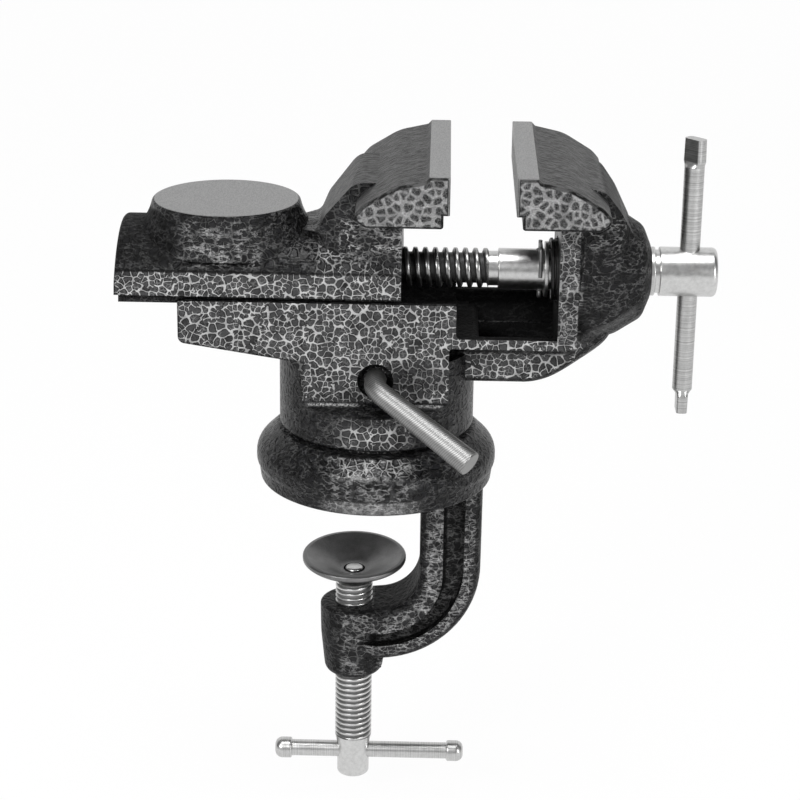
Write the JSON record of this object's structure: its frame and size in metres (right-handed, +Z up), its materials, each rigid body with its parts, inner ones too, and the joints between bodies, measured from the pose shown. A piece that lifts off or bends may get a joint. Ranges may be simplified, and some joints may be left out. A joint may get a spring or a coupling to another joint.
{
  "type": "clamp-on swivel vise",
  "caption": "Small clamp-on bench vise: turning body with jaws, round anvil and screw on a base with a C clamp.",
  "frame": {"origin": "centre of the flat face under the base flange, on the swivel axis, where it sits on the table top", "axes": "+Z up along the swivel axis, +X along the lead screw from the anvil to its handle, -Y the side of the lock lever"},
  "size_m": [0.1783, 0.0849, 0.2122],
  "materials": {
    "hammertone": "black and silver hammertone paint on cast iron; ground metal on the anvil and jaw tops",
    "steel": "bright zinc plated steel, turned",
    "pad_steel": "dull pressed steel",
    "spring_steel": "blackened spring steel"
  },
  "bodies": {
    "base": {"clamp_base": "hammertone"},
    "turning_body": {"vise_body": "hammertone"},
    "moving_jaw": {"sliding_jaw": "hammertone"},
    "screw": {"lead_screw": "steel", "thrust_washer": "steel", "spring_washer": "steel", "cotter_pin": "spring_steel", "screw_spring": "spring_steel"},
    "screw_bar": {"lead_bar": "steel"},
    "lever": {"lock_lever": "steel"},
    "pad": {"clamp_pad": "pad_steel"},
    "clamp_spindle": {"clamp_screw": "steel"},
    "spindle_bar": {"clamp_bar": "steel", "clamp_bar_cap_left": "steel", "clamp_bar_cap_right": "steel"}
  },
  "joints": [
    {"name": "swivel", "type": "hinge", "parent": "base", "child": "turning_body", "pos_m": [0, 0, 0], "axis": [0, 0, 1], "continuous": true},
    {"name": "screw_turn", "type": "hinge", "parent": "turning_body", "child": "screw", "pos_m": [0.0667, 0, 0.0667], "axis": [-1, 0, 0], "range_deg": [-3610, 2262]},
    {"name": "jaw_slide", "type": "slide", "parent": "turning_body", "child": "moving_jaw", "axis": [1, 0, 0], "range_m": [-0.03, 0.0188]},
    {"name": "screw_bar_slide", "type": "slide", "parent": "screw", "child": "screw_bar", "axis": [0, 0, 1], "range_m": [-0.0245, 0.0285]},
    {"name": "lock_turn", "type": "hinge", "parent": "turning_body", "child": "lever", "pos_m": [0.0001, -0.02, 0.037], "axis": [0, 1, 0], "range_deg": [-180, 0]},
    {"name": "clamp_travel", "type": "slide", "parent": "base", "child": "pad", "axis": [0, 0, 1], "range_m": [-0.0076, 0.0254]},
    {"name": "clamp_turn", "type": "hinge", "parent": "pad", "child": "clamp_spindle", "pos_m": [-0.00645, 0, -0.06], "axis": [0, 0, 1], "range_deg": [-1576, 5240]},
    {"name": "clamp_bar_slide", "type": "slide", "parent": "clamp_spindle", "child": "spindle_bar", "axis": [1, 0, 0], "range_m": [-0.0246, 0.0143]}
  ],
  "couplings": [
    {"joint": "screw_turn", "follows": "jaw_slide", "rad_per_m": 2094.4},
    {"joint": "clamp_turn", "follows": "clamp_travel", "rad_per_m": 3590.4}
  ]
}
